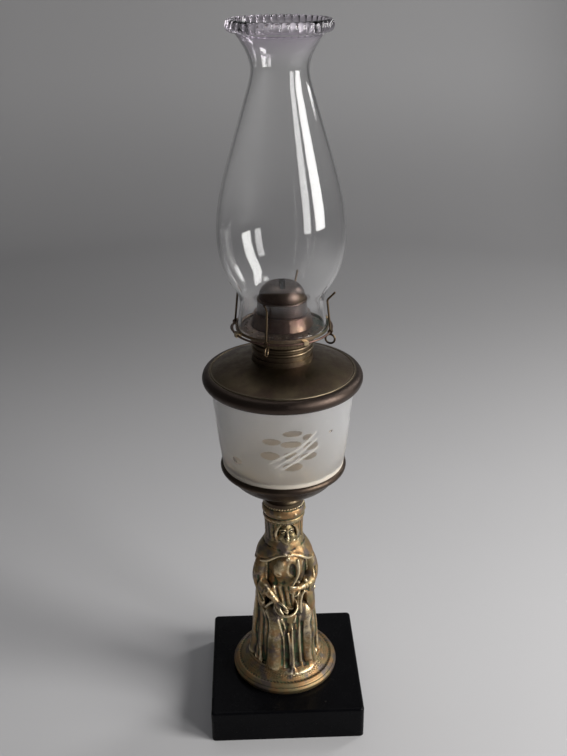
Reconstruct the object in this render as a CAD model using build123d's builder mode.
"""Figural oil table lamp, in millimetres.

The origin is the centre of the plinth's underside, +Z is up and the figure faces -Y.
A square stone plinth carries a cast foot and a draped figure, clamped by a tie rod to a brass
socket and a dish. The dish carries a glass oil font with a brass cover and a threaded collar.
The flat-wick burner, its four-prong chimney holder and the glass chimney stand on the collar.
"""

import os
from math import cos, pi, radians, sin

from build123d import *

os.makedirs("parts", exist_ok=True)

# Plinth
BASE_SIDE = 140.0
BASE_H = 32.0
BASE_CORNER_R = 4.0
BASE_EDGE_R = 2.5
RECESS_R = 16.0
RECESS_H = 12.0

# Tie rod, nuts and washers
ROD_R = 4.0
ROD_CLEAR = 0.4
ROD_PROUD = 2.0
NUT_ACROSS = 13.0
NUT_H = 6.5
WASHER_R = 12.0
WASHER_T = 1.6
THREAD_FIT = 0.1

# Cast foot
FOOT_R = 49.2
FOOT_RIM_H = 9.5
FOOT_H = 18.0
FOOT_PLATEAU_R = 34.5
FOOT_WALL = 4.5
FOOT_BEAD_R = 1.4

# Cast figure, heights above the foot
FIGURE_H = 165.0
FIGURE_TURN = 9.0
FOLD_COUNT = 12
FOLD_DEPTH = 1.7
NECK_H = 124.0
NECK_HALF_WIDTH = 12.5
NECK_HALF_DEPTH = 12.0
SKIRT_HALF_WIDTH = 33.5
SKIRT_HALF_DEPTH = 32.0
WAIST_H = 62.0
WAIST_HALF_WIDTH = 26.4
WAIST_HALF_DEPTH = 23.0
WAIST_TUCK = 0.7
CAPE_HEM_SIDE_H = 102.0
CAPE_HEM_RISE = 14.0
CAPE_HALF_WIDTH = 25.8
CAPE_HALF_DEPTH = 23.0
HOOD_HALF_WIDTH = 17.5
HOOD_HALF_DEPTH = 17.0
FACE_HALF_WIDTH = 9.0
FACE_HALF_HEIGHT = 12.0
FACE_RIM = 1.2
FACE_H = 12.0
BAND_PROUD = 0.9
BOWL_R = 10.5
BOWL_WALL = 2.0
BOWL_H = 65.0
BOWL_FORWARD = 23.0
BOWL_SIDE = -1.5
BOWL_TILT = 35.0
SASH_R = 1.9
SASH_TOP_DROP = 12.0
SASH_JOIN_DROP = 38.0
SASH_TOP_SPREAD = 7.0
SASH_SPREAD = 1.4
SLEEVE_R = 7.2
WRIST_R = 3.8
WRIST_SIDE = 12.2
ELBOW_H = 14.5
ELBOW_STAGGER = 2.5
RIGHT_WRIST_H = 7.0
LEFT_WRIST_H = 20.0
LEFT_HAND_H = 27.0
LEFT_HAND_SIDE = 5.0

# Brass socket between the figure and the dish
SOCKET_R = 18.0
SOCKET_WAIST_R = 15.6
SOCKET_TOP_R = 18.5
SOCKET_H = 14.5

# Brass dish
CUP_R = 54.3
CUP_H = 27.5
CUP_RING_H = 6.5
CUP_RING_W = 5.3
CUP_WALL = 1.5
CUP_BELLY_IN = 6.5
CUP_BELLY_H = 9.8

# Brass cover
COVER_R = 67.7
COVER_LIP_H = 9.5
COVER_EDGE_W = 7.3
COVER_BEAD_R = COVER_R - COVER_EDGE_W
COVER_OVERHANG = 6.2
COVER_RISE = 11.0
COVER_WALL = 1.6
COVER_CROWN = 1.4

# Glass oil font
FONT_FOOT_R = 52.6
FONT_WAIST_R = 56.3
FONT_MOUTH_R = COVER_R - COVER_OVERHANG
FONT_H = 77.0
FONT_WAIST_H = 30.0
FONT_WALL = 4.0
FONT_BOTTOM_DROP = 13.0
FONT_BOTTOM_R = 30.0
FONT_BOTTOM_T = 6.0
FONT_SEAT_CLEAR = 0.5

# Plaster ring
CEMENT_H = 8.0
CEMENT_INSET = 1.5
CEMENT_W = 8.0

# Threaded collar
THREAD_R = 22.2
COLLAR_WALL = 2.2
COLLAR_FLANGE_R = 25.7
COLLAR_FLANGE_H = 4.5
COLLAR_H = 18.0
COLLAR_SPIGOT_H = 5.0
COLLAR_SPIGOT_WALL = 1.0
COLLAR_RING_R = 26.0

# Burner base
THREAD_CLEAR = 0.2
THIMBLE_WALL = 1.4
THIMBLE_DEPTH = 13.0
KNURL_R = 27.0
KNURL_H = 4.0
KNURL_COUNT = 60
KNURL_CUT_R = 0.6
NECK_RING_R = 24.5
NECK_RING_H = 7.2
SHEET = 0.8

# Gallery plate
PLATE_FLANGE_R = 26.0
PLATE_DROP = 2.0
PLATE_SEAT_W = 3.2
PLATE_LIP_T = 0.8
PLATE_LIP_H = 1.8
PLATE_HOLES = 30
PLATE_HOLE_R = 1.1
SEAT_CLEAR = 0.6

# Drum and dome
DRUM_R = 25.4
DRUM_TOP_R = 22.9
DRUM_H = 11.3
DOME_SKIRT_R = 20.8
DOME_SKIRT_TOP_R = 20.2
DOME_SKIRT_H = 9.5
DOME_WALL_R = 18.8
DOME_BEAD_R = 20.6
DOME_BEAD_H = 2.4
DOME_H = 24.4
DOME_CROWN_R = 9.0
SLOT_L = 26.5
SLOT_W = 5.0

# Wick, its tube and the winder
WICK_W = 25.0
WICK_T = 2.4
WICK_L = 154.5
WICK_BELOW_DOME = 4.2
TUBE_CLEAR = 0.5
TUBE_WALL = 0.5
TUBE_BELOW_DOME = 8.5
TUBE_BELOW_FLOOR = 4.0
SPUR_R = 4.4
SPUR_GAP = 0.15
SPUR_T = 2.5
SPUR_TEETH = 12
SPUR_SPREAD = 6.5
SPINDLE_R = 1.0
SPINDLE_FIT = 0.08
SPINDLE_ABOVE_KNURL = 2.3
KNOB_R = 9.0
KNOB_T = 5.0
KNOB_HUB_R = 3.6
KNOB_HUB_L = 2.0
KNOB_REACH = 50.5
KNOB_SCALLOPS = 24

# Wire ring and prongs
RING_R = 41.0
RING_WIRE_R = 0.9
RING_DROP = 3.0
LUG_W = 4.0
LUG_WALL = 0.6
PRONG_COUNT = 4
PRONG_START = -110.0
PRONG_WIRE_R = 0.85
PRONG_FIT = 0.1
PRONG_SLEEVE_WALL = 1.0
PRONG_SLEEVE_L = 3.0
PRONG_EYE_R = 3.9
PRONG_H = 27.0
PRONG_GAP = 0.35
PRONG_TIP_H = 7.0
PRONG_TIP_OUT = 6.3
PRONG_BEND_R = 3.0

# Glass chimney
CHIMNEY_FOOT_R = 37.0
CHIMNEY_WAIST_R = 34.5
CHIMNEY_BULB_R = 51.3
CHIMNEY_NECK_R = 22.1
CHIMNEY_MOUTH_R = 35.8
CHIMNEY_H = 237.5
CHIMNEY_WAIST_H = 25.0
CHIMNEY_BULB_H = 74.0
CHIMNEY_NECK_H = 203.0
CHIMNEY_WALL = 2.0
PEARL_COUNT = 40
PEARL_R = 3.3
PEARL_H = 9.0
PEARL_OUTER_R = 39.9
PEARL_NOTCH_R = 1.5

# Heights of the stack
foot_z = BASE_H
figure_z = foot_z + FOOT_H
socket_z = figure_z + FIGURE_H
cup_z = socket_z + SOCKET_H
font_z = cup_z + CUP_H
cement_z = font_z + FONT_H
cover_z = cement_z + CEMENT_H
collar_z = cover_z + COVER_RISE + COVER_WALL
knurl_z = collar_z + COLLAR_H
neck_z = knurl_z + KNURL_H
plate_z = neck_z + NECK_RING_H
drum_z = plate_z + SHEET
dome_z = drum_z + DRUM_H
dome_top_z = dome_z + DOME_H
seat_z = drum_z - PLATE_DROP
ring_z = drum_z - RING_DROP
spindle_z = neck_z + SPINDLE_ABOVE_KNURL
rod_bottom_z = RECESS_H - WASHER_T - NUT_H - ROD_PROUD
cup_floor_z = cup_z + CUP_WALL
top_nut_z = cup_floor_z + WASHER_T


def round_bore(radius, z_low, z_high):
    """A cylinder on the lamp's axis, cut from the part being built."""
    with Locations((0, 0, (z_low + z_high) / 2)):
        Cylinder(radius, z_high - z_low, mode=Mode.SUBTRACT)


def finish(piece, name):
    """Label a piece and write its file."""
    piece.part.label = name
    export_step(piece.part, f"parts/{name}.step")


# ---------------------------------------------------------------- plinth and clamp
with BuildPart() as base_block:
    with BuildSketch():
        RectangleRounded(BASE_SIDE, BASE_SIDE, BASE_CORNER_R)
    extrude(amount=BASE_H)
    fillet(base_block.faces().sort_by(Axis.Z)[-1].edges(), BASE_EDGE_R)
    round_bore(RECESS_R, 0, RECESS_H)
    round_bore(ROD_R + ROD_CLEAR, RECESS_H, BASE_H)
finish(base_block, "base_block")


def washer(z):
    """A flat washer on the tie rod."""
    with BuildPart() as piece:
        with BuildSketch(Plane.XY.offset(z)):
            Circle(WASHER_R)
            Circle(ROD_R + ROD_CLEAR, mode=Mode.SUBTRACT)
        extrude(amount=WASHER_T)
    return piece


def hexagon_nut(z):
    """A hexagon nut on the tie rod, with its bore at the thread's outer size."""
    with BuildPart() as piece:
        with BuildSketch(Plane.XY.offset(z)):
            RegularPolygon(NUT_ACROSS / 2, 6, major_radius=False)
            Circle(ROD_R + THREAD_FIT, mode=Mode.SUBTRACT)
        extrude(amount=NUT_H)
    return piece


finish(washer(RECESS_H - WASHER_T), "base_washer")
finish(hexagon_nut(RECESS_H - WASHER_T - NUT_H), "base_nut")
finish(washer(cup_floor_z), "font_washer")
finish(hexagon_nut(top_nut_z), "font_nut")

with BuildPart() as tie_rod:
    with BuildSketch(Plane.XY.offset(rod_bottom_z)):
        Circle(ROD_R)
    extrude(amount=top_nut_z + NUT_H + ROD_PROUD - rod_bottom_z)
    chamfer(tie_rod.edges(), ROD_R / 8)
finish(tie_rod, "tie_rod")

# ---------------------------------------------------------------- cast foot
foot_cavity_r = FOOT_R - 1.5 * FOOT_WALL
foot_crest_r = (FOOT_R + FOOT_PLATEAU_R) / 2 - FOOT_BEAD_R
foot_crest_z = foot_z + (FOOT_RIM_H + FOOT_H) / 2
with BuildPart() as figure_foot:
    with BuildSketch(Plane.XZ):
        with BuildLine():
            Line((ROD_R + ROD_CLEAR, figure_z - FOOT_WALL), (ROD_R + ROD_CLEAR, figure_z))
            Line((ROD_R + ROD_CLEAR, figure_z), (FOOT_PLATEAU_R, figure_z))
            Line((FOOT_PLATEAU_R, figure_z), (foot_crest_r, foot_crest_z))
            Line((foot_crest_r, foot_crest_z), (FOOT_R - FOOT_WALL, foot_z + FOOT_RIM_H))
            RadiusArc(
                (FOOT_R - FOOT_WALL, foot_z + FOOT_RIM_H),
                (FOOT_R - 1, foot_z),
                FOOT_RIM_H * 0.62,
            )
            Line((FOOT_R - 1, foot_z), (foot_cavity_r, foot_z))
            Line((foot_cavity_r, foot_z), (foot_cavity_r, foot_z + FOOT_RIM_H - FOOT_WALL))
            Line(
                (foot_cavity_r, foot_z + FOOT_RIM_H - FOOT_WALL),
                (FOOT_PLATEAU_R - FOOT_WALL, figure_z - FOOT_WALL),
            )
            Line(
                (FOOT_PLATEAU_R - FOOT_WALL, figure_z - FOOT_WALL),
                (ROD_R + ROD_CLEAR, figure_z - FOOT_WALL),
            )
        make_face()
    revolve(axis=Axis.Z)
    with Locations((0, 0, foot_z + FOOT_RIM_H)):
        Torus(FOOT_R - FOOT_WALL, FOOT_BEAD_R)
finish(figure_foot, "figure_foot")

# ---------------------------------------------------------------- cast figure
FIGURE_PLANE = Plane(
    origin=(0, 0, figure_z),
    x_dir=(cos(radians(FIGURE_TURN)), sin(radians(FIGURE_TURN)), 0),
    z_dir=(0, 0, 1),
)


def on_figure(x, y, z):
    """A point of the figure's own frame, in the lamp's frame."""
    return FIGURE_PLANE.from_local_coords(Vector(x, y, z))


def fold_outline(half_width, half_depth, fold):
    """Points of a closed draped section: an ellipse with evenly spaced folds."""
    count = 4 * FOLD_COUNT
    outline = []
    for k in range(count):
        turn = 2 * pi * k / count
        drape = fold * cos(FOLD_COUNT * turn)
        outline.append(((half_width + drape) * cos(turn), (half_depth + drape) * sin(turn)))
    return outline


def limb(stations):
    """A sleeve, arm or sash: cones between balls, from (x, y, z, radius) stations."""
    with BuildPart() as piece:
        for x, y, z, radius in stations:
            with Locations(on_figure(x, y, z)):
                Sphere(radius)
        for (x0, y0, z0, r0), (x1, y1, z1, r1) in zip(stations, stations[1:]):
            start = on_figure(x0, y0, z0)
            end = on_figure(x1, y1, z1)
            with BuildSketch(Plane(origin=start, z_dir=end - start)):
                Circle(r0)
            with BuildSketch(Plane(origin=end, z_dir=end - start)):
                Circle(r1)
            loft()
    return piece.part


SKIRT_SECTIONS = (
    (0.0, SKIRT_HALF_WIDTH, SKIRT_HALF_DEPTH, FOLD_DEPTH),
    (WAIST_H * 0.4, SKIRT_HALF_WIDTH * 0.905, SKIRT_HALF_DEPTH * 0.9, FOLD_DEPTH * 0.8),
    (WAIST_H * 0.75, SKIRT_HALF_WIDTH * 0.84, SKIRT_HALF_DEPTH * 0.79, FOLD_DEPTH * 0.5),
    (WAIST_H, WAIST_HALF_WIDTH, WAIST_HALF_DEPTH, FOLD_DEPTH * 0.2),
)
BODICE_SECTIONS = (
    (WAIST_H, WAIST_HALF_WIDTH - WAIST_TUCK, WAIST_HALF_DEPTH - WAIST_TUCK),
    (CAPE_HEM_SIDE_H - CAPE_HEM_RISE, CAPE_HALF_WIDTH * 0.88, CAPE_HALF_DEPTH * 0.88),
    (CAPE_HEM_SIDE_H, CAPE_HALF_WIDTH * 0.83, CAPE_HALF_DEPTH * 0.82),
    (NECK_H, NECK_HALF_WIDTH, NECK_HALF_DEPTH),
)
with BuildPart() as figure_robe:
    for height, half_width, half_depth in BODICE_SECTIONS:
        with BuildSketch(FIGURE_PLANE.offset(height)):
            Ellipse(half_width, half_depth)
    loft()
    for height, half_width, half_depth, fold in SKIRT_SECTIONS:
        with BuildSketch(FIGURE_PLANE.offset(height)):
            with BuildLine():
                Spline(fold_outline(half_width, half_depth, fold), periodic=True)
            make_face()
    loft()
    sash_foot_y = -SKIRT_HALF_DEPTH - SASH_R / 4
    sash_top_y = -SKIRT_HALF_DEPTH * 0.8
    sash_join_y = sash_top_y - 1.9 * SASH_R
    for side in (-1, 1):
        add(
            limb(
                (
                    (BOWL_SIDE + side * SASH_TOP_SPREAD, sash_top_y, BOWL_H - SASH_TOP_DROP, SASH_R),
                    (BOWL_SIDE + side * SASH_SPREAD, sash_join_y, BOWL_H - SASH_JOIN_DROP, SASH_R),
                    (BOWL_SIDE + side * SASH_SPREAD, sash_foot_y, SASH_R, SASH_R),
                )
            )
        )
    round_bore(ROD_R + ROD_CLEAR, figure_z - 1, figure_z + NECK_H + 1)
finish(figure_robe, "figure_robe")

cape_plane = Plane(
    origin=on_figure(0, 0, CAPE_HEM_SIDE_H),
    x_dir=FIGURE_PLANE.x_dir,
    z_dir=on_figure(0, CAPE_HEM_RISE, CAPE_HALF_DEPTH) - on_figure(0, 0, 0),
)
CAPE_SECTIONS = (
    (CAPE_HEM_SIDE_H - CAPE_HEM_RISE * 1.6, CAPE_HALF_WIDTH * 1.02, CAPE_HALF_DEPTH * 1.05),
    (CAPE_HEM_SIDE_H, CAPE_HALF_WIDTH, CAPE_HALF_DEPTH),
    (CAPE_HEM_SIDE_H + 10.0, CAPE_HALF_WIDTH * 0.93, CAPE_HALF_DEPTH * 0.92),
    (NECK_H, HOOD_HALF_WIDTH * 1.04, HOOD_HALF_DEPTH * 1.02),
)
with BuildPart() as figure_cape:
    for height, half_width, half_depth in CAPE_SECTIONS:
        with BuildSketch(FIGURE_PLANE.offset(height)):
            Ellipse(half_width, half_depth)
    loft()
    split(bisect_by=cape_plane, keep=Keep.TOP)
    add(figure_robe.part, mode=Mode.SUBTRACT)
    round_bore(ROD_R + ROD_CLEAR, figure_z, figure_z + FIGURE_H)
finish(figure_cape, "figure_cape")

head_h = FIGURE_H - NECK_H
HOOD_SECTIONS = (
    (NECK_H, HOOD_HALF_WIDTH, HOOD_HALF_DEPTH),
    (NECK_H + head_h * 0.32, HOOD_HALF_WIDTH, HOOD_HALF_DEPTH),
    (NECK_H + head_h * 0.68, HOOD_HALF_WIDTH * 1.04, HOOD_HALF_DEPTH * 1.04),
    (FIGURE_H, HOOD_HALF_WIDTH * 0.98, HOOD_HALF_DEPTH * 0.98),
)
BANDS = ((head_h * 0.59, head_h * 0.13), (head_h * 0.755, head_h * 0.2))
face_centre = on_figure(0, -(HOOD_HALF_DEPTH - FACE_HALF_WIDTH * 0.9), NECK_H + FACE_H)
with BuildPart() as figure_head:
    for height, half_width, half_depth in HOOD_SECTIONS:
        with BuildSketch(FIGURE_PLANE.offset(height)):
            Ellipse(half_width, half_depth)
    loft()
    for band_start, band_h in BANDS:
        with BuildSketch(FIGURE_PLANE.offset(NECK_H + band_start)):
            Ellipse(HOOD_HALF_WIDTH * 1.04 + BAND_PROUD, HOOD_HALF_DEPTH * 1.04 + BAND_PROUD)
        extrude(amount=band_h)
    with BuildSketch(Plane(face_centre, x_dir=FIGURE_PLANE.x_dir, z_dir=-FIGURE_PLANE.y_dir)):
        Ellipse(FACE_HALF_WIDTH + FACE_RIM, FACE_HALF_HEIGHT)
    extrude(amount=HOOD_HALF_DEPTH, mode=Mode.SUBTRACT)
    with BuildSketch(Plane(face_centre, x_dir=FIGURE_PLANE.x_dir, z_dir=-FIGURE_PLANE.y_dir)):
        with BuildLine():
            CenterArc((0, 0), FACE_HALF_WIDTH, -90, 180)
            Line((0, -FACE_HALF_WIDTH), (0, FACE_HALF_WIDTH))
        make_face()
    revolve(axis=Axis(face_centre, (0, 0, 1)))
    round_bore(ROD_R + ROD_CLEAR, figure_z, figure_z + FIGURE_H)
finish(figure_head, "figure_head")

bowl_centre = on_figure(BOWL_SIDE, -BOWL_FORWARD, BOWL_H)
bowl_lean = BOWL_R * sin(radians(BOWL_TILT))
bowl_rise = BOWL_R * cos(radians(BOWL_TILT))
with BuildPart() as held_bowl:
    with Locations(bowl_centre):
        Sphere(BOWL_R)
    with Locations(on_figure(BOWL_SIDE, -BOWL_FORWARD - bowl_lean, BOWL_H + bowl_rise)):
        Sphere(BOWL_R * 1.2 - BOWL_WALL, mode=Mode.SUBTRACT)
    add(figure_robe.part, mode=Mode.SUBTRACT)
finish(held_bowl, "held_bowl")

shoulder_x = CAPE_HALF_WIDTH * 0.7
elbow_x = WAIST_HALF_WIDTH * 0.833
elbow_y = -WAIST_HALF_DEPTH * 0.39
RIGHT_ARM = (
    (-shoulder_x, -WRIST_R, CAPE_HEM_SIDE_H, SLEEVE_R * 0.83),
    (-elbow_x, elbow_y, WAIST_H + ELBOW_H + ELBOW_STAGGER, SLEEVE_R),
    (-WRIST_SIDE, WRIST_R / 2 - BOWL_FORWARD, WAIST_H + RIGHT_WRIST_H, WRIST_R * 1.25),
    (BOWL_SIDE - BOWL_R, -BOWL_FORWARD - WRIST_R * 0.8, BOWL_H - WRIST_R * 0.4, WRIST_R),
)
LEFT_ARM = (
    (shoulder_x, -WRIST_R, CAPE_HEM_SIDE_H, SLEEVE_R * 0.83),
    (elbow_x, elbow_y, WAIST_H + ELBOW_H - ELBOW_STAGGER, SLEEVE_R),
    (WRIST_SIDE, WRIST_R / 2 - CAPE_HALF_DEPTH, WAIST_H + LEFT_WRIST_H, WRIST_R * 1.25),
    (LEFT_HAND_SIDE, -CAPE_HALF_DEPTH - WRIST_R * 0.4, WAIST_H + LEFT_HAND_H, WRIST_R),
)
for name, stations in (("figure_right_arm", RIGHT_ARM), ("figure_left_arm", LEFT_ARM)):
    with BuildPart() as arm:
        add(limb(stations))
        add(figure_robe.part, mode=Mode.SUBTRACT)
        add(figure_cape.part, mode=Mode.SUBTRACT)
        add(held_bowl.part, mode=Mode.SUBTRACT)
        arm_body = arm.part.solids().sort_by(SortBy.VOLUME)[-1]
        add(arm_body, mode=Mode.REPLACE)
    finish(arm, name)

# ---------------------------------------------------------------- brass socket and dish
with BuildPart() as stem_connector:
    with BuildSketch(Plane.XZ):
        with BuildLine():
            Polyline(
                (SOCKET_R, socket_z + SOCKET_H / 4),
                (SOCKET_R, socket_z),
                (ROD_R + ROD_CLEAR, socket_z),
                (ROD_R + ROD_CLEAR, cup_z),
                (SOCKET_TOP_R, cup_z),
                (SOCKET_TOP_R, cup_z - SOCKET_H / 8),
            )
            ThreePointArc(
                (SOCKET_TOP_R, cup_z - SOCKET_H / 8),
                (SOCKET_WAIST_R, socket_z + SOCKET_H * 0.55),
                (SOCKET_R, socket_z + SOCKET_H / 4),
            )
        make_face()
    revolve(axis=Axis.Z)
finish(stem_connector, "stem_connector")

cup_inner_r = CUP_R - CUP_RING_W
cup_ring_z = font_z - CUP_RING_H
cup_belly_r = cup_inner_r - CUP_BELLY_IN
cup_belly_z = cup_z + CUP_BELLY_H
with BuildPart() as font_cup:
    with BuildSketch(Plane.XZ):
        with BuildLine():
            Polyline(
                (cup_inner_r, cup_ring_z),
                (cup_inner_r, font_z),
                (CUP_R - CUP_RING_H / 4, font_z),
            )
            RadiusArc(
                (CUP_R - CUP_RING_H / 4, font_z),
                (CUP_R - CUP_RING_H / 4, cup_ring_z),
                CUP_RING_H * 0.54,
            )
            Line((CUP_R - CUP_RING_H / 4, cup_ring_z), (cup_inner_r + CUP_WALL, cup_ring_z))
            ThreePointArc(
                (cup_inner_r + CUP_WALL, cup_ring_z),
                (cup_belly_r, cup_belly_z),
                (SOCKET_TOP_R, cup_z),
            )
            Polyline(
                (SOCKET_TOP_R, cup_z),
                (ROD_R + ROD_CLEAR, cup_z),
                (ROD_R + ROD_CLEAR, cup_floor_z),
                (SOCKET_TOP_R - CUP_WALL, cup_floor_z),
            )
            ThreePointArc(
                (SOCKET_TOP_R - CUP_WALL, cup_floor_z),
                (cup_belly_r - CUP_WALL, cup_belly_z + CUP_WALL),
                (cup_inner_r, cup_ring_z),
            )
        make_face()
    revolve(axis=Axis.Z)
finish(font_cup, "font_cup")

# ---------------------------------------------------------------- glass font
font_seat_r = cup_inner_r - FONT_SEAT_CLEAR
font_top_z = font_z + FONT_H
font_flare_r = (FONT_WAIST_R + FONT_MOUTH_R) / 2 - 0.4
font_flare_z = font_z + (FONT_WAIST_H + FONT_H) / 2
font_floor_z = font_z - FONT_BOTTOM_DROP + FONT_BOTTOM_T
with BuildPart() as font_glass:
    with BuildSketch(Plane.XZ):
        with BuildLine():
            Spline(
                (FONT_FOOT_R, font_z),
                (FONT_WAIST_R, font_z + FONT_WAIST_H),
                (font_flare_r, font_flare_z),
                (FONT_MOUTH_R, font_top_z),
            )
            Line((FONT_MOUTH_R, font_top_z), (FONT_MOUTH_R - FONT_WALL, font_top_z))
            Spline(
                (FONT_MOUTH_R - FONT_WALL, font_top_z),
                (font_flare_r - FONT_WALL, font_flare_z),
                (FONT_WAIST_R - FONT_WALL, font_z + FONT_WAIST_H),
                (FONT_FOOT_R - FONT_WALL, font_z + FONT_WALL),
            )
            ThreePointArc(
                (FONT_FOOT_R - FONT_WALL, font_z + FONT_WALL),
                (FONT_FOOT_R - 2.2 * FONT_WALL, font_floor_z + FONT_WALL),
                (FONT_BOTTOM_R, font_floor_z),
            )
            Polyline(
                (FONT_BOTTOM_R, font_floor_z),
                (0, font_floor_z),
                (0, font_z - FONT_BOTTOM_DROP),
                (FONT_BOTTOM_R, font_z - FONT_BOTTOM_DROP),
                (font_seat_r - FONT_WALL, font_z - FONT_BOTTOM_DROP / 2),
                (font_seat_r, font_z),
                (FONT_FOOT_R, font_z),
            )
        make_face()
    revolve(axis=Axis.Z)
finish(font_glass, "font_glass")

# ---------------------------------------------------------------- plaster ring and cover
cover_hole_r = THREAD_R + COLLAR_SPIGOT_WALL + THREAD_FIT
cover_slope = COVER_RISE / (COVER_BEAD_R - KNURL_R)


def cover_underside(radius):
    """Height of the cover's conical underside at a radius."""
    return cover_z + (COVER_BEAD_R - radius) * cover_slope


cement_out_r = FONT_MOUTH_R - CEMENT_INSET
cement_in_r = cement_out_r - CEMENT_W
with BuildPart() as font_cement:
    with BuildSketch(Plane.XZ):
        with BuildLine():
            Polyline(
                (cement_in_r, cement_z),
                (cement_out_r, cement_z),
                (cement_out_r, cover_underside(cement_out_r)),
                (cement_in_r, cover_underside(cement_in_r)),
                close=True,
            )
        make_face()
    revolve(axis=Axis.Z)
finish(font_cement, "font_cement")

lip_z = cover_z - COVER_LIP_H
roll_in_r = COVER_R - 2 * COVER_WALL
cover_mid_r = (COVER_BEAD_R + KNURL_R) / 2
with BuildPart() as font_cover:
    with BuildSketch(Plane.XZ):
        with BuildLine():
            Polyline(
                (KNURL_R, collar_z),
                (cover_hole_r, collar_z),
                (cover_hole_r, collar_z - COVER_WALL),
                (KNURL_R, collar_z - COVER_WALL),
                (COVER_BEAD_R, cover_z),
            )
            ThreePointArc(
                (COVER_BEAD_R, cover_z),
                (roll_in_r - COVER_WALL / 3, cover_z - COVER_LIP_H * 0.25),
                (roll_in_r, lip_z + COVER_WALL / 2),
            )
            Line((roll_in_r, lip_z + COVER_WALL / 2), (roll_in_r + COVER_WALL / 2, lip_z))
            ThreePointArc(
                (roll_in_r + COVER_WALL / 2, lip_z),
                (COVER_R, lip_z + COVER_LIP_H * 0.45),
                (COVER_BEAD_R + COVER_WALL, cover_z + COVER_WALL),
            )
            Line((COVER_BEAD_R + COVER_WALL, cover_z + COVER_WALL), (COVER_BEAD_R, cover_z + COVER_WALL))
            ThreePointArc(
                (COVER_BEAD_R, cover_z + COVER_WALL),
                (cover_mid_r, cover_underside(cover_mid_r) + COVER_WALL + COVER_CROWN),
                (KNURL_R, collar_z),
            )
        make_face()
    revolve(axis=Axis.Z)
    with Locations((0, 0, cover_z + COVER_WALL)):
        Torus(COVER_BEAD_R, COVER_WALL / 2)
finish(font_cover, "font_cover")

# ---------------------------------------------------------------- threaded collar
collar_body_r = THREAD_R + COLLAR_WALL
COLLAR_BEADS = (10.0, 14.5)
with BuildPart() as burner_collar:
    with BuildSketch(Plane.XZ):
        with Locations(((THREAD_R + collar_body_r) / 2, collar_z + COLLAR_H / 2)):
            Rectangle(COLLAR_WALL, COLLAR_H)
        with Locations(((THREAD_R + COLLAR_FLANGE_R) / 2, collar_z + COLLAR_FLANGE_H / 2)):
            Rectangle(COLLAR_FLANGE_R - THREAD_R, COLLAR_FLANGE_H)
        with Locations((THREAD_R + COLLAR_SPIGOT_WALL / 2, collar_z - COLLAR_SPIGOT_H / 2)):
            Rectangle(COLLAR_SPIGOT_WALL, COLLAR_SPIGOT_H)
        for bead_h in COLLAR_BEADS:
            with Locations((collar_body_r, collar_z + bead_h)):
                Circle(COLLAR_RING_R - collar_body_r)
    revolve(axis=Axis.Z)
finish(burner_collar, "burner_collar")

# ---------------------------------------------------------------- burner base
thimble_r = THREAD_R - THREAD_CLEAR
thimble_in_r = thimble_r - THIMBLE_WALL
thimble_z = knurl_z - THIMBLE_DEPTH
neck_in_r = NECK_RING_R - 2 * SHEET
spindle_x = -(WICK_T / 2 + SPUR_GAP + SPUR_R)
tube_inner_l = WICK_W + 2 * TUBE_CLEAR
tube_inner_w = WICK_T + 2 * TUBE_CLEAR
tube_outer_l = tube_inner_l + 2 * TUBE_WALL
tube_outer_w = tube_inner_w + 2 * TUBE_WALL
with BuildPart() as burner_base:
    with BuildSketch(Plane.XZ):
        with BuildLine():
            Polyline(
                (0, thimble_z),
                (thimble_r, thimble_z),
                (thimble_r, knurl_z),
                (KNURL_R, knurl_z),
                (KNURL_R, neck_z),
                (NECK_RING_R, neck_z),
                (NECK_RING_R, plate_z),
                (neck_in_r, plate_z),
                (neck_in_r, neck_z - KNURL_H / 2),
                (thimble_in_r, neck_z - KNURL_H / 2),
                (thimble_in_r, thimble_z + THIMBLE_WALL),
                (0, thimble_z + THIMBLE_WALL),
                close=True,
            )
        make_face()
    revolve(axis=Axis.Z)
    with BuildSketch(Plane.XY.offset(knurl_z)):
        with PolarLocations(KNURL_R, KNURL_COUNT):
            Circle(KNURL_CUT_R)
    extrude(amount=KNURL_H, mode=Mode.SUBTRACT)
    with BuildSketch(Plane.XY.offset(thimble_z)):
        SlotOverall(tube_outer_l + 2 * THREAD_FIT, tube_outer_w + 2 * THREAD_FIT, rotation=90)
    extrude(amount=THIMBLE_WALL, mode=Mode.SUBTRACT)
    with Locations(Location((spindle_x, 0, spindle_z), (90, 0, 0))):
        Cylinder(SPINDLE_R + SPINDLE_FIT, 2 * KNURL_R, mode=Mode.SUBTRACT)
finish(burner_base, "burner_base")

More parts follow.
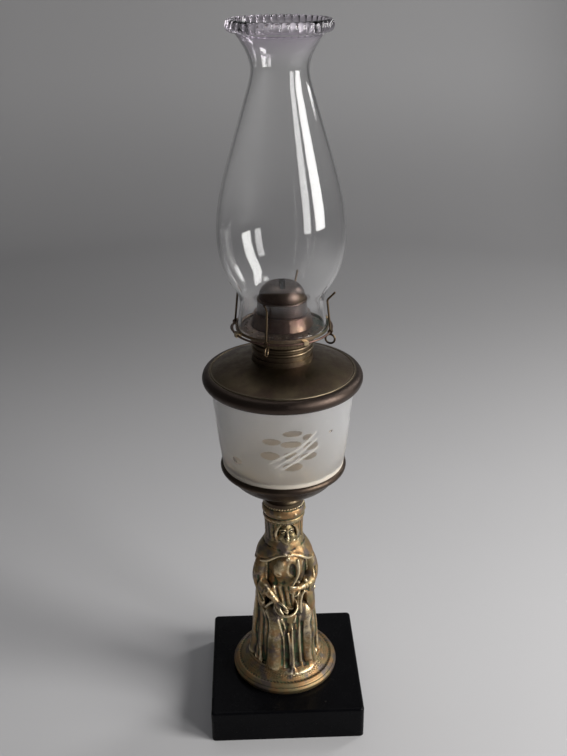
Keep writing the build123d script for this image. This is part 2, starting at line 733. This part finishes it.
# ---------------------------------------------------------------- gallery plate
seat_out_r = CHIMNEY_FOOT_R + SEAT_CLEAR
seat_in_r = seat_out_r - PLATE_SEAT_W
lip_r = seat_out_r + PLATE_LIP_T
plate_in_r = neck_in_r - SHEET
plate_hole_ring_r = (PLATE_FLANGE_R + seat_in_r) / 2
prong_turns = [PRONG_START + k * 360 / PRONG_COUNT for k in range(PRONG_COUNT)]
lug_reach = RING_R + RING_WIRE_R + LUG_WALL
with BuildPart() as gallery_plate:
    with BuildSketch(Plane.XZ):
        with BuildLine():
            Polyline(
                (plate_in_r, plate_z),
                (plate_in_r, drum_z),
                (PLATE_FLANGE_R, drum_z),
                (seat_in_r, seat_z),
                (seat_out_r, seat_z),
                (seat_out_r, seat_z + PLATE_LIP_H),
                (lip_r, seat_z + PLATE_LIP_H),
                (lip_r, seat_z - SHEET),
                (seat_in_r, seat_z - SHEET),
                (PLATE_FLANGE_R, plate_z),
                close=True,
            )
        make_face()
    revolve(axis=Axis.Z)
    with BuildSketch(Plane.XY.offset(seat_z - PLATE_DROP)):
        with PolarLocations(plate_hole_ring_r, PLATE_HOLES):
            Circle(PLATE_HOLE_R)
    extrude(amount=3 * PLATE_DROP, mode=Mode.SUBTRACT)
    lug_h = 2 * (RING_WIRE_R + LUG_WALL)
    for prong_turn in prong_turns:
        lug_turn = prong_turn + 180 / PRONG_COUNT
        lug_plane = Plane.XY.offset(ring_z - lug_h / 2).rotated((0, 0, lug_turn))
        with BuildSketch(lug_plane):
            with Locations(((lip_r + lug_reach) / 2 - PLATE_LIP_T / 2, 0)):
                Rectangle(lug_reach - lip_r + PLATE_LIP_T, LUG_W)
        extrude(amount=lug_h)
    with Locations((0, 0, ring_z)):
        Torus(RING_R, RING_WIRE_R + THREAD_FIT / 2, mode=Mode.SUBTRACT)
finish(gallery_plate, "gallery_plate")

with BuildPart() as holder_ring:
    with Locations((0, 0, ring_z)):
        Torus(RING_R, RING_WIRE_R)
finish(holder_ring, "holder_ring")

# ---------------------------------------------------------------- drum and dome
drum_top_in_r = DOME_SKIRT_R - 3 * SHEET
with BuildPart() as burner_drum:
    with BuildSketch(Plane.XZ):
        with BuildLine():
            Polyline(
                (DRUM_R, drum_z),
                (DRUM_R, drum_z + SHEET),
                (DRUM_TOP_R, dome_z - 2 * SHEET),
                (DRUM_TOP_R, dome_z),
                (drum_top_in_r, dome_z),
                (drum_top_in_r, dome_z - SHEET),
                (DRUM_TOP_R - SHEET, dome_z - SHEET),
                (DRUM_R - SHEET, drum_z + SHEET),
                (DRUM_R - SHEET, drum_z),
                close=True,
            )
        make_face()
    revolve(axis=Axis.Z)
    with Locations((0, 0, dome_z - SHEET)):
        Torus(DRUM_TOP_R, SHEET / 2)
finish(burner_drum, "burner_drum")

bead_z = dome_z + DOME_SKIRT_H
wall_z = bead_z + DOME_BEAD_H
crown_mid_r = DOME_CROWN_R + (DOME_WALL_R - DOME_CROWN_R) * 0.66
crown_mid_z = wall_z + (dome_top_z - wall_z) * 0.72
with BuildPart() as deflector_dome:
    with BuildSketch(Plane.XZ):
        with BuildLine():
            Polyline(
                (DOME_SKIRT_R - SHEET, dome_z),
                (DOME_SKIRT_R, dome_z),
                (DOME_SKIRT_TOP_R, bead_z),
            )
            ThreePointArc(
                (DOME_SKIRT_TOP_R, bead_z),
                (DOME_BEAD_R, bead_z + DOME_BEAD_H / 2),
                (DOME_WALL_R, wall_z),
            )
            ThreePointArc(
                (DOME_WALL_R, wall_z),
                (crown_mid_r, crown_mid_z),
                (DOME_CROWN_R, dome_top_z - SHEET / 2),
            )
            Polyline(
                (DOME_CROWN_R, dome_top_z - SHEET / 2),
                (0, dome_top_z),
                (0, dome_top_z - SHEET),
                (DOME_CROWN_R - SHEET / 2, dome_top_z - 1.5 * SHEET),
            )
            ThreePointArc(
                (DOME_CROWN_R - SHEET / 2, dome_top_z - 1.5 * SHEET),
                (crown_mid_r - SHEET, crown_mid_z - SHEET),
                (DOME_WALL_R - SHEET, wall_z),
            )
            Polyline(
                (DOME_WALL_R - SHEET, wall_z),
                (DOME_SKIRT_TOP_R - SHEET, bead_z),
                (DOME_SKIRT_R - SHEET, dome_z),
            )
        make_face()
    revolve(axis=Axis.Z)
    with BuildSketch(Plane.XY.offset(wall_z)):
        SlotOverall(SLOT_L, SLOT_W, rotation=90)
    extrude(amount=DOME_H, mode=Mode.SUBTRACT)
finish(deflector_dome, "deflector_dome")

# ---------------------------------------------------------------- wick, tube and winder
tube_bottom_z = thimble_z - TUBE_BELOW_FLOOR
tube_top_z = dome_top_z - TUBE_BELOW_DOME
window_l = 2 * SPUR_SPREAD + 2 * SPUR_T
with BuildPart() as wick_tube:
    with BuildSketch(Plane.XY.offset(tube_bottom_z)):
        SlotOverall(tube_outer_l, tube_outer_w, rotation=90)
        SlotOverall(tube_inner_l, tube_inner_w, rotation=90, mode=Mode.SUBTRACT)
    extrude(amount=tube_top_z - tube_bottom_z)
    with Locations((-tube_outer_w / 2, 0, spindle_z)):
        Box(tube_outer_w - tube_inner_w + 0.2, window_l, 2 * SPUR_R + SPUR_T, mode=Mode.SUBTRACT)
finish(wick_tube, "wick_tube")

wick_top_z = dome_top_z - WICK_BELOW_DOME
with BuildPart() as wick:
    with BuildSketch(Plane.XY.offset(wick_top_z - WICK_L)):
        RectangleRounded(WICK_T, WICK_W, WICK_T / 3)
    extrude(amount=WICK_L)
finish(wick, "wick")

spindle_end_y = KNOB_REACH + KNOB_HUB_L / 2
with BuildPart() as wick_spindle:
    with BuildSketch(Plane(origin=(spindle_x, -NECK_RING_R, spindle_z), z_dir=(0, 1, 0))):
        Circle(SPINDLE_R)
    extrude(amount=NECK_RING_R + spindle_end_y)
finish(wick_spindle, "wick_spindle")

with BuildPart() as wick_spurs:
    for spur_y in (-SPUR_SPREAD, SPUR_SPREAD):
        spur_plane = Plane(origin=(spindle_x, spur_y - SPUR_T / 2, spindle_z), z_dir=(0, 1, 0))
        with BuildSketch(spur_plane):
            Circle(SPUR_R)
            with PolarLocations(SPUR_R, SPUR_TEETH, start_angle=180 / SPUR_TEETH):
                Circle(SPUR_R / 6, mode=Mode.SUBTRACT)
            Circle(SPINDLE_R + THREAD_FIT / 2, mode=Mode.SUBTRACT)
        extrude(amount=SPUR_T)
finish(wick_spurs, "wick_spurs")

knob_y = KNOB_REACH - KNOB_T
with BuildPart() as wick_knob:
    with BuildSketch(Plane(origin=(spindle_x, knob_y, spindle_z), z_dir=(0, 1, 0))):
        Circle(KNOB_R)
        with PolarLocations(KNOB_R, KNOB_SCALLOPS):
            Circle(KNOB_R / 14, mode=Mode.SUBTRACT)
    extrude(amount=KNOB_T / 2)
    with BuildSketch(Plane(origin=(spindle_x, knob_y - KNOB_HUB_L, spindle_z), z_dir=(0, 1, 0))):
        Circle(KNOB_HUB_R)
    extrude(amount=KNOB_T + KNOB_HUB_L)
    with BuildSketch(Plane(origin=(spindle_x, 0, spindle_z), z_dir=(0, 1, 0))):
        Circle(SPINDLE_R + THREAD_FIT / 2)
    extrude(amount=2 * KNOB_REACH, mode=Mode.SUBTRACT)
finish(wick_knob, "wick_knob")

# ---------------------------------------------------------------- prongs
sleeve_bore_r = RING_WIRE_R + PRONG_FIT
sleeve_r = sleeve_bore_r + PRONG_SLEEVE_WALL
elbow_r = CHIMNEY_FOOT_R + PRONG_GAP + PRONG_WIRE_R
eye_z = ring_z - sleeve_r + PRONG_SLEEVE_WALL / 2 - PRONG_EYE_R - PRONG_WIRE_R
leg_z = ring_z + sleeve_r - PRONG_SLEEVE_WALL / 2


def prong(turn):
    """A wire prong: a sleeve round the ring, an eye below it and a leg with an outturned tip."""
    radial = Plane.XZ.rotated((0, 0, turn))
    with BuildPart() as piece:
        with BuildLine(radial) as leg:
            FilletPolyline(
                (RING_R, leg_z),
                (elbow_r, ring_z + PRONG_H),
                (elbow_r + PRONG_TIP_OUT, ring_z + PRONG_H + PRONG_TIP_H),
                radius=PRONG_BEND_R,
            )
        with BuildSketch(Plane(origin=leg.line @ 0, z_dir=leg.line % 0)):
            Circle(PRONG_WIRE_R)
        sweep(path=leg.line)
        hinge = radial.offset(-PRONG_SLEEVE_L / 2)
        with BuildSketch(hinge):
            with Locations((RING_R, ring_z)):
                Circle(sleeve_r)
        extrude(amount=PRONG_SLEEVE_L)
        with Locations(radial.location * Pos(RING_R, eye_z, 0)):
            Torus(PRONG_EYE_R, PRONG_WIRE_R)
        with Locations(radial.location * Pos(RING_R, ring_z, 0)):
            Cylinder(sleeve_bore_r, 2 * PRONG_SLEEVE_L, mode=Mode.SUBTRACT)
    return piece


for index, prong_turn in enumerate(prong_turns, start=1):
    finish(prong(prong_turn), f"prong_{index}")

# ---------------------------------------------------------------- chimney
chimney_outline = (
    (CHIMNEY_FOOT_R, 0.0),
    (CHIMNEY_WAIST_R + 0.6, CHIMNEY_WAIST_H * 0.5),
    (CHIMNEY_WAIST_R, CHIMNEY_WAIST_H),
    (CHIMNEY_WAIST_R * 0.5 + CHIMNEY_BULB_R * 0.5, CHIMNEY_WAIST_H * 0.66 + CHIMNEY_BULB_H * 0.34),
    (CHIMNEY_BULB_R, CHIMNEY_BULB_H),
    (CHIMNEY_BULB_R * 0.915 + CHIMNEY_NECK_R * 0.085, CHIMNEY_BULB_H * 0.76 + CHIMNEY_NECK_H * 0.24),
    (CHIMNEY_BULB_R * 0.55 + CHIMNEY_NECK_R * 0.45, CHIMNEY_BULB_H * 0.45 + CHIMNEY_NECK_H * 0.55),
    (CHIMNEY_BULB_R * 0.11 + CHIMNEY_NECK_R * 0.89, CHIMNEY_BULB_H * 0.125 + CHIMNEY_NECK_H * 0.875),
    (CHIMNEY_NECK_R, CHIMNEY_NECK_H),
    (CHIMNEY_MOUTH_R, CHIMNEY_H - PEARL_H * 0.7),
)
outer_wall = [(radius, seat_z + height) for radius, height in chimney_outline]
inner_wall = [(radius - CHIMNEY_WALL, z) for radius, z in reversed(outer_wall)]
chimney_top_z = seat_z + CHIMNEY_H
pearl_z = chimney_top_z - PEARL_H
pearl_centre_r = PEARL_OUTER_R - PEARL_R
with BuildPart() as chimney:
    with BuildSketch(Plane.XZ):
        with BuildLine():
            Spline(outer_wall)
            Line(outer_wall[-1], inner_wall[0])
            Spline(inner_wall)
            Line(inner_wall[-1], outer_wall[0])
        make_face()
        with Locations((pearl_centre_r, pearl_z + PEARL_H / 2)):
            Ellipse(PEARL_R, PEARL_H / 2)
    revolve(axis=Axis.Z)
    with BuildSketch(Plane.XY.offset(pearl_z)):
        with PolarLocations(PEARL_OUTER_R + PEARL_NOTCH_R / 3, PEARL_COUNT):
            Circle(PEARL_NOTCH_R)
    extrude(amount=PEARL_H, mode=Mode.SUBTRACT)
finish(chimney, "chimney")
